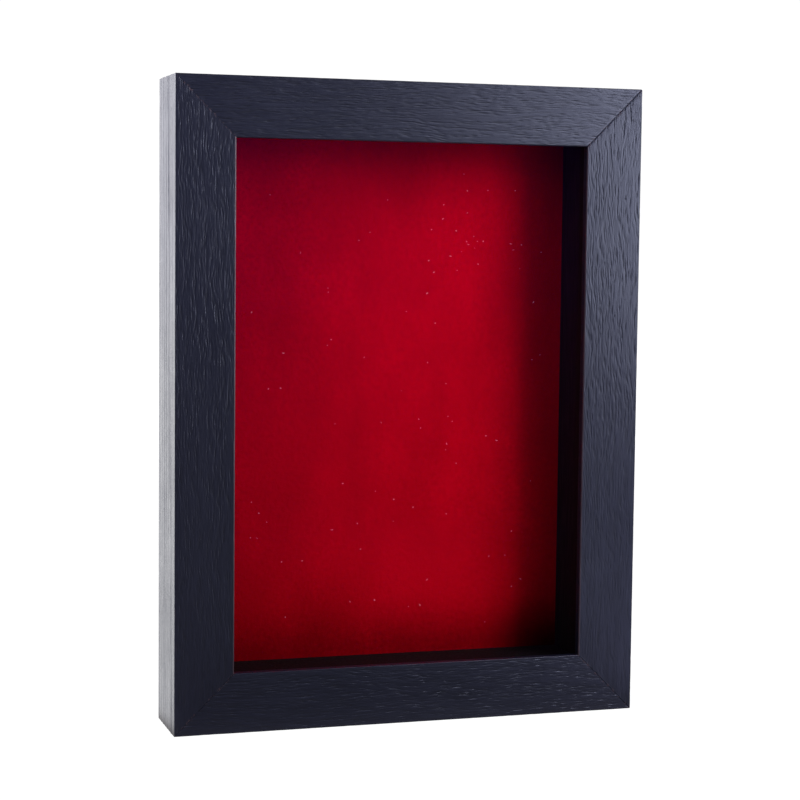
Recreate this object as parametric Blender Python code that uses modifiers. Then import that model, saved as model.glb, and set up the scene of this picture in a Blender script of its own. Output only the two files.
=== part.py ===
"""Shadow box: a deep mitred wooden frame with a glazed front and a velvet-lined back panel.

Metres, +Z up. The front faces -Y, and the origin is the centre of the underside.
"""

import math

import bmesh
import bpy
from mathutils import Vector

# Driving dimensions
SHEET_WIDTH = 0.210
SHEET_HEIGHT = 0.297
LIP_WIDTH = 0.0055
LIP_THICKNESS = 0.005
RAIL_WIDTH = 0.0325
DEPTH = 0.0455
ARRIS = 0.0006
PANE_THICKNESS = 0.002
SPACER_THICKNESS = 0.003
VELVET_THICKNESS = 0.0008
BOARD_THICKNESS = 0.0024

# Clearance between neighbouring pieces, and how far cutters run past what they cut
GAP = 0.0003
PAST = 0.001
WELD_DISTANCE = 0.00001

# V-nails: folded steel strip across each mitre, sunk just below the rear face
NAIL_LEG = 0.005
NAIL_SHEET = 0.0006
NAIL_LENGTH = 0.010
NAIL_SINK = 0.0002
NAIL_PLACES = (0.009, 0.018)

# Pan-head wood screws
SHANK_RADIUS = 0.00125
SCREW_LENGTH = 0.012
SCREW_POINT = 0.003
HEAD_RADIUS = 0.0031
HEAD_HEIGHT = 0.0017
HEAD_RIM = 0.0005
RECESS_SPAN = 0.0033
RECESS_WIDTH = 0.0007
RECESS_DEPTH = 0.0009
RECESS_TAPER = 0.7
BORE_DEPTH = 0.011
SCREW_STEPS = 16

# Turn buttons
BUTTON_INSET = 0.0075
BUTTON_REACH = 0.0185
BUTTON_SHEET = 0.0012
BUTTON_PIVOT_RADIUS = 0.0045
BUTTON_TIP_RADIUS = 0.0032
BUTTON_SPREAD = 0.105
BUTTON_EDGE = 0.00015

# Hanger straps and their D-rings
STRAP_SHEET = 0.001
STRAP_WIDTH = 0.009
STRAP_LENGTH = 0.036
STRAP_CORNER = 0.003
STRAP_SCREWS = (0.019, 0.030)
KNUCKLE_END = -100
RING_WIRE = 0.0011
RING_BAR = 0.0052
RING_CORNER = 0.0018
RING_RADIUS = 0.007
RING_SIDE = 0.005
HANGER_X = 0.119
HANGER_Z = 0.236

# Wall bumpers
BUMPER_RADIUS = 0.005
BUMPER_HEIGHT = 2 * (RING_WIRE + GAP + STRAP_SHEET)
BUMPER_FLAT = 0.0036
BUMPER_SHOULDER = 0.7
BUMPER_STEPS = 20
BUMPER_X = 0.100

# Worked out from the above: the outside, the rebate, and the layers from front to rear
SIGHT_WIDTH = SHEET_WIDTH - 2 * LIP_WIDTH
SIGHT_HEIGHT = SHEET_HEIGHT - 2 * LIP_WIDTH
WIDTH = SIGHT_WIDTH + 2 * RAIL_WIDTH
HEIGHT = SIGHT_HEIGHT + 2 * RAIL_WIDTH
MIDDLE = HEIGHT / 2
FRONT = -DEPTH / 2
REAR = DEPTH / 2
REBATE_X = SHEET_WIDTH / 2
REBATE_LOW = MIDDLE - SHEET_HEIGHT / 2
REBATE_HIGH = MIDDLE + SHEET_HEIGHT / 2
PANE_FRONT = FRONT + LIP_THICKNESS + GAP
PANE_REAR = PANE_FRONT + PANE_THICKNESS
BOARD_FRONT = REAR - BOARD_THICKNESS
VELVET_REAR = BOARD_FRONT - GAP
VELVET_FRONT = VELVET_REAR - VELVET_THICKNESS

# A plate drawn in its local XY plane stands upright with this rotation, its outline in X and Z
UPRIGHT = math.radians(90)


def clear_scene():
    """Remove whatever the scene holds."""
    for thing in list(bpy.data.objects):
        bpy.data.objects.remove(thing)


def add_collection(name):
    """A new collection in the scene."""
    collection = bpy.data.collections.new(name)
    bpy.context.scene.collection.children.link(collection)
    return collection


def add_material(name, colour, roughness, metallic=0.0, transmission=0.0):
    """A Principled material; the colour is linear RGB."""
    material = bpy.data.materials.new(name)
    material.use_nodes = True
    shader = material.node_tree.nodes["Principled BSDF"]
    shader.inputs["Base Color"].default_value = (*colour, 1.0)
    shader.inputs["Roughness"].default_value = roughness
    shader.inputs["Metallic"].default_value = metallic
    shader.inputs["Transmission Weight"].default_value = transmission
    material.diffuse_color = (*colour, 1.0)
    return material


clear_scene()
PARTS = add_collection("shadow_box")
CUTTERS = add_collection("cutters")
WOOD = add_material("stained_wood", (0.018, 0.017, 0.025), 0.42)
GLASS = add_material("clear_glass", (0.95, 0.97, 0.96), 0.03, transmission=1.0)
BLACK_PAINT = add_material("black_paint", (0.008, 0.007, 0.009), 0.6)
VELVET = add_material("red_velvet", (0.28, 0.002, 0.010), 0.95)
HARDBOARD = add_material("hardboard", (0.19, 0.10, 0.05), 0.8)
ZINC = add_material("zinc_plated_steel", (0.55, 0.56, 0.58), 0.32, metallic=1.0)
BARE_STEEL = add_material("bare_steel", (0.30, 0.30, 0.31), 0.45, metallic=1.0)
RUBBER = add_material("clear_rubber", (0.30, 0.30, 0.29), 0.5)


def add_piece(name, data, material, location=(0, 0, 0), rotation=(0, 0, 0)):
    """A sub-part of the box, as its own object with its own material."""
    piece = bpy.data.objects.new(name, data)
    piece.location = location
    piece.rotation_euler = rotation
    PARTS.objects.link(piece)
    if not data.materials:
        data.materials.append(material)
    return piece


def add_cutter(name, data, location=(0, 0, 0), rotation=(0, 0, 0)):
    """A guide for Boolean cuts, which isn't a part of the box."""
    cutter = bpy.data.objects.new(name, data)
    cutter.location = location
    cutter.rotation_euler = rotation
    cutter.hide_render = True
    cutter.display_type = "WIRE"
    CUTTERS.objects.link(cutter)
    return cutter


def cut(piece, cutter):
    """Cut one object out of another."""
    modifier = piece.modifiers.new("cut_" + cutter.name, "BOOLEAN")
    modifier.operation = "DIFFERENCE"
    modifier.solver = "EXACT"
    modifier.object = cutter


def soften(piece, width, segments=1, method="ANGLE"):
    """Round an object's edges: all its sharp ones, or those that carry a bevel weight."""
    modifier = piece.modifiers.new("arris", "BEVEL")
    modifier.width = width
    modifier.segments = segments
    modifier.limit_method = method
    modifier.angle_limit = math.radians(40)


def shade_round(mesh):
    """Smooth shading, with edges over 40 degrees left sharp."""
    mesh.shade_smooth()
    mesh.set_sharp_from_angle(angle=math.radians(40))
    return mesh


def box_mesh(name, size):
    """A box centred on its origin."""
    mesh = bpy.data.meshes.new(name)
    form = bmesh.new()
    bmesh.ops.create_cube(form, size=1.0)
    bmesh.ops.scale(form, vec=size, verts=form.verts)
    form.to_mesh(mesh)
    form.free()
    return mesh


def between(low, high):
    """The size and the centre of a box, from its two corners."""
    low = Vector(low)
    high = Vector(high)
    return high - low, (low + high) / 2


def arc(centre, radius, start, stop, count):
    """Points along an arc from one angle to another, in degrees."""
    points = []
    for step in range(count):
        angle = math.radians(start + (stop - start) * step / (count - 1))
        points.append((centre[0] + radius * math.cos(angle), centre[1] + radius * math.sin(angle)))
    return points


def solid_from_curve(curve):
    """The curve's solid as a mesh, with its caps welded on."""
    holder = bpy.data.objects.new(curve.name, curve)
    bpy.context.scene.collection.objects.link(holder)
    evaluated = holder.evaluated_get(bpy.context.evaluated_depsgraph_get())
    mesh = bpy.data.meshes.new_from_object(evaluated)
    form = bmesh.new()
    form.from_mesh(mesh)
    bmesh.ops.remove_doubles(form, verts=form.verts, dist=WELD_DISTANCE)
    form.to_mesh(mesh)
    form.free()
    bpy.data.objects.remove(holder)
    return mesh


def plate_mesh(name, outline, thickness):
    """A flat plate with this outline in its local XY plane, centred on that plane."""
    curve = bpy.data.curves.new(name, "CURVE")
    curve.dimensions = "2D"
    curve.fill_mode = "BOTH"
    curve.extrude = thickness / 2
    spline = curve.splines.new("POLY")
    spline.points.add(len(outline) - 1)
    for point, (x, y) in zip(spline.points, outline):
        point.co = (x, y, 0, 1)
    spline.use_cyclic_u = True
    return solid_from_curve(curve)


def turned_object(name, profile, steps):
    """A profile of (radius, height) points, top to bottom, turned about its local Z axis."""
    mesh = bpy.data.meshes.new(name)
    form = bmesh.new()
    rings = [form.verts.new((radius, 0, height)) for radius, height in profile]
    for upper, lower in zip(rings, rings[1:]):
        form.edges.new((upper, lower))
    form.to_mesh(mesh)
    form.free()
    turned = bpy.data.objects.new(name, mesh)
    bpy.context.scene.collection.objects.link(turned)
    modifier = turned.modifiers.new("turn", "SCREW")
    modifier.steps = steps
    modifier.render_steps = steps
    modifier.use_merge_vertices = True
    modifier.merge_threshold = WELD_DISTANCE
    return turned


def applied_mesh(thing):
    """An object's mesh with its modifiers applied; the object itself goes."""
    evaluated = thing.evaluated_get(bpy.context.evaluated_depsgraph_get())
    mesh = bpy.data.meshes.new_from_object(evaluated)
    bpy.data.objects.remove(thing)
    return shade_round(mesh)


def add_rail(name, length, location, turn):
    """One mitred rail: its outer face is on its local XY plane, and +Z runs in to the opening."""
    set_back = GAP / math.sqrt(2)
    mesh = box_mesh(name, (length - 2 * set_back, DEPTH, RAIL_WIDTH))
    form = bmesh.new()
    form.from_mesh(mesh)
    bmesh.ops.translate(form, vec=(0, 0, RAIL_WIDTH / 2), verts=form.verts)
    for corner in form.verts:
        if corner.co.z > RAIL_WIDTH / 2:
            corner.co.x -= math.copysign(RAIL_WIDTH, corner.co.x)
    weight = form.edges.layers.float.new("bevel_weight_edge")
    for edge in form.edges:
        first, second = edge.verts
        if (first.co - second.co).length > RAIL_WIDTH + DEPTH:
            edge[weight] = 1.0
    form.to_mesh(mesh)
    form.free()
    rail = add_piece(name, mesh, WOOD, location, (0, math.radians(turn), 0))
    soften(rail, ARRIS, segments=3, method="WEIGHT")
    return rail


def add_rails():
    """The four rails, with the rebate for the glass and the back panel cut into them."""
    rails = {
        "bottom": add_rail("bottom_rail", WIDTH, (0, 0, 0), 0),
        "top": add_rail("top_rail", WIDTH, (0, 0, HEIGHT), 180),
        "left": add_rail("left_rail", HEIGHT, (-WIDTH / 2, 0, MIDDLE), 90),
        "right": add_rail("right_rail", HEIGHT, (WIDTH / 2, 0, MIDDLE), -90),
    }
    low = (-REBATE_X, FRONT + LIP_THICKNESS, REBATE_LOW)
    high = (REBATE_X, REAR + PAST, REBATE_HIGH)
    size, centre = between(low, high)
    well = add_cutter("rebate_well", box_mesh("rebate_well", size), centre)
    for rail in rails.values():
        cut(rail, well)
    return rails


def vee_outline(leg, sheet):
    """A right-angled V of sheet: its point is on the origin and it opens along +X."""
    corner = sheet / math.sqrt(2)
    along = leg / math.sqrt(2)
    across = sheet / 2 / math.sqrt(2)
    return [
        (-corner, 0),
        (along - across, -along - across),
        (along + across, -along + across),
        (corner, 0),
        (along + across, along - across),
        (along - across, along + across),
    ]


def add_nails(rails):
    """Two V-nails across each mitre, each in a slot that lies half in either rail."""
    nail_mesh = plate_mesh("v_nail", vee_outline(NAIL_LEG, NAIL_SHEET), NAIL_LENGTH)
    slot_outline = vee_outline(NAIL_LEG + GAP, NAIL_SHEET + 2 * GAP)
    slot_length = NAIL_LENGTH + NAIL_SINK + GAP + PAST
    slot_mesh = plate_mesh("v_nail_slot", slot_outline, slot_length)
    nail_y = REAR - NAIL_SINK - NAIL_LENGTH / 2
    slot_y = REAR + PAST - slot_length / 2
    for upright, side, height, level in (
        ("left", -1, 0, "bottom"),
        ("right", 1, 0, "bottom"),
        ("right", 1, HEIGHT, "top"),
        ("left", -1, HEIGHT, "top"),
    ):
        inward_x = -side
        inward_z = 1 if height == 0 else -1
        rotation = (UPRIGHT, -math.atan2(inward_z, inward_x), 0)
        for place, label in zip(NAIL_PLACES, ("outer", "inner")):
            name = f"v_nail_{level}_{upright}_{label}"
            x = side * (WIDTH / 2 - place)
            z = height + inward_z * place
            add_piece(name, nail_mesh, BARE_STEEL, (x, nail_y, z), rotation)
            slot = add_cutter(name + "_slot", slot_mesh, (x, slot_y, z), rotation)
            cut(rails[upright], slot)
            cut(rails[level], slot)


def add_glazing():
    """The glass pane, which rests against the back of the rails' lips."""
    low = (-REBATE_X + GAP, PANE_FRONT, REBATE_LOW + GAP)
    high = (REBATE_X - GAP, PANE_REAR, REBATE_HIGH - GAP)
    size, centre = between(low, high)
    pane = add_piece("glazing_pane", box_mesh("glazing_pane", size), GLASS, centre)
    soften(pane, GAP / 2)


def add_spacers():
    """Four strips that line the rebate between the glass and the velvet."""
    outer_x = REBATE_X - GAP
    outer_low = REBATE_LOW + GAP
    outer_high = REBATE_HIGH - GAP
    inner_x = outer_x - SPACER_THICKNESS
    near = PANE_REAR + GAP
    far = VELVET_FRONT - GAP
    corners = {
        "left_spacer": ((-outer_x, near, outer_low), (-inner_x, far, outer_high)),
        "right_spacer": ((inner_x, near, outer_low), (outer_x, far, outer_high)),
        "bottom_spacer": (
            (-inner_x + GAP, near, outer_low),
            (inner_x - GAP, far, outer_low + SPACER_THICKNESS),
        ),
        "top_spacer": (
            (-inner_x + GAP, near, outer_high - SPACER_THICKNESS),
            (inner_x - GAP, far, outer_high),
        ),
    }
    for name, (low, high) in corners.items():
        size, centre = between(low, high)
        spacer = add_piece(name, box_mesh(name, size), BLACK_PAINT, centre)
        soften(spacer, GAP)


def add_back_panel():
    """The back board, flush with the rails, and the velvet stretched over its front and edges."""
    velvet_x = REBATE_X - GAP
    velvet_z = SHEET_HEIGHT / 2 - GAP
    low = (-velvet_x, VELVET_FRONT, MIDDLE - velvet_z)
    high = (velvet_x, REAR, MIDDLE + velvet_z)
    size, centre = between(low, high)
    velvet = add_piece("velvet_lining", box_mesh("velvet_lining", size), VELVET, centre)
    soften(velvet, VELVET_THICKNESS / 2, segments=2)

    hollow_x = velvet_x - VELVET_THICKNESS
    hollow_z = velvet_z - VELVET_THICKNESS
    low = (-hollow_x, VELVET_REAR, MIDDLE - hollow_z)
    high = (hollow_x, REAR + PAST, MIDDLE + hollow_z)
    size, centre = between(low, high)
    cut(velvet, add_cutter("velvet_hollow", box_mesh("velvet_hollow", size), centre))

    low = (-hollow_x + GAP, BOARD_FRONT, MIDDLE - hollow_z + GAP)
    high = (hollow_x - GAP, REAR, MIDDLE + hollow_z - GAP)
    size, centre = between(low, high)
    board = add_piece("back_board", box_mesh("back_board", size), HARDBOARD, centre)
    soften(board, GAP)


def cross_outline(span, width, taper):
    """A plus sign for a cross recess, whose arms narrow towards their ends."""
    far = span / 2
    near = width / 2
    quarter = [(far, -near * taper), (far, near * taper), (near, near)]
    outline = []
    for turn in range(4):
        cosine = round(math.cos(turn * math.pi / 2))
        sine = round(math.sin(turn * math.pi / 2))
        outline += [(cosine * x - sine * y, sine * x + cosine * y) for x, y in quarter]
    return outline


def screw_mesh():
    """A pan-head wood screw: the underside of its head is on its local XY plane, head up."""
    dome = arc((0, HEAD_RIM), 1.0, 90, 0, 5)
    profile = [(x * HEAD_RADIUS, HEAD_RIM + (y - HEAD_RIM) * (HEAD_HEIGHT - HEAD_RIM)) for x, y in dome]
    profile[0] = (0, HEAD_HEIGHT)
    profile += [
        (HEAD_RADIUS, 0),
        (SHANK_RADIUS, 0),
        (SHANK_RADIUS, SCREW_POINT - SCREW_LENGTH),
        (0, -SCREW_LENGTH),
    ]
    screw = turned_object("screw", profile, SCREW_STEPS)
    outline = cross_outline(RECESS_SPAN, RECESS_WIDTH, RECESS_TAPER)
    cross = plate_mesh("recess", outline, 2 * RECESS_DEPTH)
    recess = add_cutter("screw_recess", cross, (0, 0, HEAD_HEIGHT))
    cut(screw, recess)
    return applied_mesh(screw)


def add_screw(name, mesh, x, z, seat, clearances):
    """A screw driven from behind, with its head's underside at seat, and its bore."""
    facing_rear = (-UPRIGHT, 0, 0)
    add_piece(name, mesh, ZINC, (x, seat, z), facing_rear)
    low = REAR - BORE_DEPTH
    length = seat + PAST - low
    bore_mesh = bpy.data.meshes.new(name + "_bore")
    form = bmesh.new()
    radius = SHANK_RADIUS + GAP
    bmesh.ops.create_cone(
        form, cap_ends=True, segments=SCREW_STEPS, radius1=radius, radius2=radius, depth=length
    )
    form.to_mesh(bore_mesh)
    form.free()
    bore = add_cutter(name + "_bore", bore_mesh, (x, low + length / 2, z), facing_rear)
    for piece in clearances:
        cut(piece, bore)


def button_outline():
    """A tapered tongue with round ends: its pivot is on the origin and it points along +X."""
    tip_x = BUTTON_REACH - BUTTON_TIP_RADIUS
    slope = math.degrees(math.asin((BUTTON_PIVOT_RADIUS - BUTTON_TIP_RADIUS) / tip_x))
    tip = arc((tip_x, 0), BUTTON_TIP_RADIUS, slope - 90, 90 - slope, 9)
    pivot_end = arc((0, 0), BUTTON_PIVOT_RADIUS, 90 - slope, 270 + slope, 13)
    return tip + pivot_end


def add_buttons(rails, fastener):
    """Six turn buttons, each on its own screw, with their tips over the back board."""
    seat = REAR + GAP + BUTTON_SHEET + GAP
    pivot_y = REAR + GAP + BUTTON_SHEET / 2
    side_x = REBATE_X + BUTTON_INSET
    places = {
        "left_upper": ("left", -side_x, MIDDLE + BUTTON_SPREAD, 0),
        "left_lower": ("left", -side_x, MIDDLE - BUTTON_SPREAD, 0),
        "right_upper": ("right", side_x, MIDDLE + BUTTON_SPREAD, 180),
        "right_lower": ("right", side_x, MIDDLE - BUTTON_SPREAD, 180),
        "top": ("top", 0, REBATE_HIGH + BUTTON_INSET, 90),
        "bottom": ("bottom", 0, REBATE_LOW - BUTTON_INSET, -90),
    }
    for label, (rail, x, z, turn) in places.items():
        mesh = plate_mesh("turn_button_" + label, button_outline(), BUTTON_SHEET)
        rotation = (UPRIGHT, math.radians(turn), 0)
        button = add_piece("turn_button_" + label, mesh, ZINC, (x, pivot_y, z), rotation)
        add_screw("button_screw_" + label, fastener, x, z, seat, (rails[rail], button))
        soften(button, BUTTON_EDGE)


def strap_outline():
    """The folded strap's edge: X runs out from the wood, Y runs up, and the fold is round Y = 0."""
    inner = RING_WIRE + GAP
    outer = inner + STRAP_SHEET
    centre = (GAP + outer, 0)
    fold = arc(centre, outer, 180, KNUCKLE_END, 17)
    fold += arc(centre, inner, KNUCKLE_END, 180, 17)
    return [(GAP, -STRAP_LENGTH)] + fold + [(GAP + STRAP_SHEET, -STRAP_LENGTH)]


def strap_mesh():
    """A hanger strap, with the two corners of its free end rounded."""
    mesh = plate_mesh("hanger_strap", strap_outline(), STRAP_WIDTH)
    form = bmesh.new()
    form.from_mesh(mesh)
    corners = []
    for edge in form.edges:
        first, second = edge.verts
        at_end = max(first.co.y, second.co.y) < STRAP_CORNER - STRAP_LENGTH
        if at_end and abs(first.co.x - second.co.x) > STRAP_SHEET / 2:
            corners.append(edge)
    bmesh.ops.bevel(form, geom=corners, offset=STRAP_CORNER, segments=5, profile=0.5, affect="EDGES")
    form.to_mesh(mesh)
    form.free()
    return mesh


def ring_outline():
    """The D-ring's wire: its bar is along X through the origin, and its bow hangs below."""
    bar_end = arc((RING_BAR, -RING_CORNER), RING_CORNER, 90, 0, 4)
    bow = arc((0, -RING_SIDE), RING_RADIUS, 0, -180, 15)
    bar_start = [(-x, z) for x, z in reversed(bar_end)]
    return bar_end + bow + bar_start


def add_ring(name, location):
    """A D-ring hanging from its bar, which is its joint's axis."""
    curve = bpy.data.curves.new(name, "CURVE")
    curve.dimensions = "3D"
    curve.bevel_depth = RING_WIRE
    curve.bevel_resolution = 2
    outline = ring_outline()
    spline = curve.splines.new("POLY")
    spline.points.add(len(outline) - 1)
    for point, (x, z) in zip(spline.points, outline):
        point.co = (x, 0, z, 1)
    spline.use_cyclic_u = True
    spline.use_smooth = True
    add_piece(name, curve, ZINC, location)


def add_hangers(rails, fastener):
    """A screwed strap and a free D-ring on the back of each side rail."""
    seat = REAR + GAP + STRAP_SHEET + GAP
    axis_y = REAR + GAP + STRAP_SHEET + GAP + RING_WIRE
    for side, sign in (("left", -1), ("right", 1)):
        x = sign * HANGER_X
        rotation = (UPRIGHT, 0, UPRIGHT)
        strap = add_piece("hanger_strap_" + side, strap_mesh(), ZINC, (x, REAR, HANGER_Z), rotation)
        add_ring("d_ring_" + side, (x, axis_y, HANGER_Z))
        for drop, label in zip(STRAP_SCREWS, ("upper", "lower")):
            name = f"hanger_screw_{side}_{label}"
            add_screw(name, fastener, x, HANGER_Z - drop, seat, (rails[side], strap))


def add_bumpers():
    """Two rubber bumpers on the bottom rail, which stand out as far as the hangers' folds."""
    profile = [
        (0, BUMPER_HEIGHT),
        (BUMPER_FLAT, BUMPER_HEIGHT),
        (BUMPER_RADIUS - GAP, BUMPER_HEIGHT * BUMPER_SHOULDER),
        (BUMPER_RADIUS, 0),
        (0, 0),
    ]
    mesh = applied_mesh(turned_object("bumper", profile, BUMPER_STEPS))
    for side, sign in (("left", -1), ("right", 1)):
        location = (sign * BUMPER_X, REAR + GAP, REBATE_LOW / 2)
        add_piece("wall_bumper_" + side, mesh, RUBBER, location, (-UPRIGHT, 0, 0))


def main():
    """Make the whole shadow box."""
    rails = add_rails()
    add_nails(rails)
    add_glazing()
    add_spacers()
    add_back_panel()
    fastener = screw_mesh()
    add_buttons(rails, fastener)
    add_hangers(rails, fastener)
    add_bumpers()


main()
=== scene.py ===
"""Looks of the shadow box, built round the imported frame.

Metres, +Z up. The front faces -Y and the origin is the centre of the underside.
"""

import math

import bmesh
import bpy
import numpy as np
from mathutils import Matrix, Vector


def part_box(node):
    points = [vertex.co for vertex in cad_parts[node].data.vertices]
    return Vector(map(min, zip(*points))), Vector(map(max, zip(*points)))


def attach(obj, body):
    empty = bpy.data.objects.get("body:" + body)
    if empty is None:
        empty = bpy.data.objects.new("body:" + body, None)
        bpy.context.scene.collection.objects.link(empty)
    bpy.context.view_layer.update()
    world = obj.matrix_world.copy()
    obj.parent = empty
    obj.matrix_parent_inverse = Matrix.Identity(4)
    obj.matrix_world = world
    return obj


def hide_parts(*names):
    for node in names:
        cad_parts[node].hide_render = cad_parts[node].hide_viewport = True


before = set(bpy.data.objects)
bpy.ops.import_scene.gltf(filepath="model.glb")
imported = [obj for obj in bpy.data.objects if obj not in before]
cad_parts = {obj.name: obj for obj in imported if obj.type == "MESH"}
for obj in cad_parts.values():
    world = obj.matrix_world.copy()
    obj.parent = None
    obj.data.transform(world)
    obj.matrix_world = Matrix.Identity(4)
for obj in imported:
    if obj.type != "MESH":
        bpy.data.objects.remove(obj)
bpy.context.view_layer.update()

# The frame's clearance between pieces that touch
GAP = 0.0003

# Places and sizes that come from the frame
CASE_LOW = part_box("left_rail")[0]
CASE_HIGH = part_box("right_rail")[1]
FRONT = CASE_LOW.y
REAR = CASE_HIGH.y
WIDTH = CASE_HIGH.x - CASE_LOW.x
HEIGHT = CASE_HIGH.z
MIDDLE = HEIGHT / 2
RAIL_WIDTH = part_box("left_rail")[1].x - CASE_LOW.x
PANE_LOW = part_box("glazing_pane")[0]
VELVET_LOW, VELVET_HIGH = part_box("velvet_lining")
BOARD_LOW, BOARD_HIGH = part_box("back_board")
REBATE = PANE_LOW.x - GAP - CASE_LOW.x
LIP_REAR = PANE_LOW.y - GAP

# A rail's section: its faces by number, and the arris before a face is half a number less
OUTER, FACE, SIGHT, LIP, WALL, BACK = range(6)

# Rails: how finely they are cut along and across each face, and how round their corners are
ALONG_STEP = 0.0012
STEPS = {OUTER: 0.0006, FACE: 0.00027, SIGHT: 0.0006, LIP: 0.0018, WALL: 0.0036, BACK: 0.0008}
ARRIS = 0.0004
INNER_ARRIS = 0.0006
CRISP_ARRIS = 0.00025
SMALL_ARRIS = 0.00035
ARC_STEPS = 4
MITRE_TOUCH = 0.00003
MITRE_INSET = 0.00022

# Open grain: pores are sized as a least value, and how much more the largest have
PORE_AREA = 0.0000022
PORE_HALF = (0.0015, 0.0029)
PORE_WIDTH = (0.00016, 0.00013)
PORE_DEPTH = (0.00004, 0.00019)
DEEPEST_PORE = 0.00025
PORE_LIFT = 0.00003
PORE_WEIGHTS = {OUTER: 0.35, FACE: 1.0, SIGHT: 0.5, BACK: 0.7}
PORE_WEIGHTS |= {OUTER - 0.5: 0.4, FACE - 0.5: 0.5, SIGHT - 0.5: 0.4}
PORE_BEND = 0.0024
DRIFT = 0.0042
SMALL_DRIFT = 0.0007
KNOCK_DEPTH = 0.00008

# The outer face's long streaks, and the line that slants across it
STREAK_HEIGHT = 0.00009
LINE_HEIGHT = 0.00022
LINE_WIDTH = 0.0007

# Bores and slots in the rails
SCREW_BORE = 0.00155
OVERSHOOT = 0.001

# Screws: pan heads, cross recesses and threads
SCREW_SIDES = 72
HEAD_RADIUS = 0.0031
HEAD_HEIGHT = 0.0017
HEAD_RIM = 0.0005
RECESS_REACH = 0.00165
RECESS_WIDTH = 0.0007
RECESS_DEPTH = 0.0009
SHANK_RADIUS = 0.00125
SCREW_LENGTH = 0.012
SCREW_POINT = 0.003
THREAD_PITCH = 0.0011

# Turn buttons
BUTTON_REACH = 0.0185
PIVOT_RADIUS = 0.0045
TIP_RADIUS = 0.0032
HOLE_RADIUS = 0.00155
ROLLED_EDGE = 0.0003

# Hanger straps and D-rings
STRAP_SHEET = 0.001
STRAP_CORNER = 0.003
KNUCKLE_END = -100
RING_WIRE = 0.0011
RING_BAR = 0.0052
RING_CORNER = 0.0018
RING_RADIUS = 0.007
RING_SIDE = 0.005
RING_SIDES = 24

# Velvet and back board
SHEET_INSET = 0.0001
BOARD_INSET = 0.00008

# Lint on the velvet
LINT_COUNT = 90
LINT_CLUSTER = 16
LINT_RISE = 0.00002
LINT_ROWS = 6
LINT_SIDES = 5


def new_object(name, data):
    """An object in the scene that shows a mesh, a light or a camera."""
    thing = bpy.data.objects.new(name, data)
    bpy.context.scene.collection.objects.link(thing)
    return thing


def mesh_object(name, vertices, faces, smooth_angle=50, closed=False):
    """A mesh object from lists of points and faces, smooth but for its sharp edges.

    A closed one has its faces turned to look outwards.
    """
    mesh = bpy.data.meshes.new(name)
    mesh.from_pydata(vertices, [], faces)
    mesh.update()
    if closed:
        form = bmesh.new()
        form.from_mesh(mesh)
        bmesh.ops.recalc_face_normals(form, faces=form.faces)
        form.to_mesh(mesh)
        form.free()
    mesh.shade_smooth()
    mesh.set_sharp_from_angle(angle=math.radians(smooth_angle))
    return new_object(name, mesh)


def full_turn(count):
    """Even angles all the way round."""
    return np.linspace(0, 2 * math.pi, count, endpoint=False)


def grid_faces(rows, columns, closed):
    """Quads over rows of points. The columns join up, and so do the rows if closed."""
    index = np.arange(rows * columns).reshape(rows, columns)
    after = np.roll(index, -1, axis=1)
    quads = np.stack((index, after, np.roll(after, -1, axis=0), np.roll(index, -1, axis=0)), axis=-1)
    if not closed:
        quads = quads[:-1]
    return quads.reshape(-1, 4).tolist()


def edge_ring(index):
    """The grid's outer points in order, all the way round."""
    return np.concatenate((index[0], index[1:, -1], index[-1, -2::-1], index[-2:0:-1, 0])).tolist()


def sheet_grid(half_x, half_z, step):
    """x and z over an upright rectangle in even steps, with z from its middle."""
    across = np.linspace(-half_x, half_x, round(2 * half_x / step) + 1)
    up = np.linspace(-half_z, half_z, round(2 * half_z / step) + 1)
    return np.meshgrid(across, up)


def edge_fade(x, z, reach):
    """0 at the edge of a sheet's grid and 1 from reach inwards."""
    return np.clip(np.minimum(x.max() - abs(x), z.max() - abs(z)) / reach, 0, 1)


def sheet_mesh(x, y, z):
    """The points of an upright sheet about the box's middle, its quads, and the loop of its edge."""
    vertices = np.stack((x, y, z + MIDDLE), axis=-1).reshape(-1, 3).tolist()
    index = np.arange(x.size).reshape(x.shape)
    quads = np.stack((index[:-1, :-1], index[:-1, 1:], index[1:, 1:], index[1:, :-1]), axis=-1)
    return vertices, quads.reshape(-1, 4).tolist(), edge_ring(index)


def eased_corner(radius):
    """Steps round a corner of a sheet: how far back, and how far out."""
    angles = (0.5, 1.05, math.pi / 2)
    return [(radius * (1 - math.cos(angle)), radius * math.sin(angle)) for angle in angles]


# ---------------- shading helpers


def new_material(name):
    """An empty node material: the material and its tree."""
    material = bpy.data.materials.new(name)
    material.use_nodes = True
    material.node_tree.nodes.clear()
    return material, material.node_tree


def add(tree, kind, settings=None, **inputs):
    """A shader node. An input is a value, another node's output or None; _ in its name is a space."""
    node = tree.nodes.new("ShaderNode" + kind)
    for name, value in (settings or {}).items():
        setattr(node, name, value)
    for name, value in inputs.items():
        key = int(name[1:]) if name[0] == "i" and name[1:].isdigit() else name.replace("_", " ")
        if isinstance(value, bpy.types.NodeSocket):
            tree.links.new(value, node.inputs[key])
        elif value is not None:
            node.inputs[key].default_value = value
    return node


def rgb(red, green, blue):
    """A linear colour with full alpha."""
    return (red, green, blue, 1.0)


def remap(tree, value, start, end, low=0.0, high=1.0, kind="SMOOTHSTEP"):
    """A ramp over a value: low up to start, high from end on."""
    inputs = {"Value": value, "From_Min": start, "From_Max": end, "To_Min": low, "To_Max": high}
    return add(tree, "MapRange", {"interpolation_type": kind}, **inputs).outputs[0]


def span(tree, value, low, high):
    """A 0 to 1 value spread between two others."""
    return remap(tree, value, 0.0, 1.0, low, high, "LINEAR")


def own_place(tree):
    """The object's own coordinates at the point that is shaded."""
    return add(tree, "TexCoord").outputs["Object"]


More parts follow.
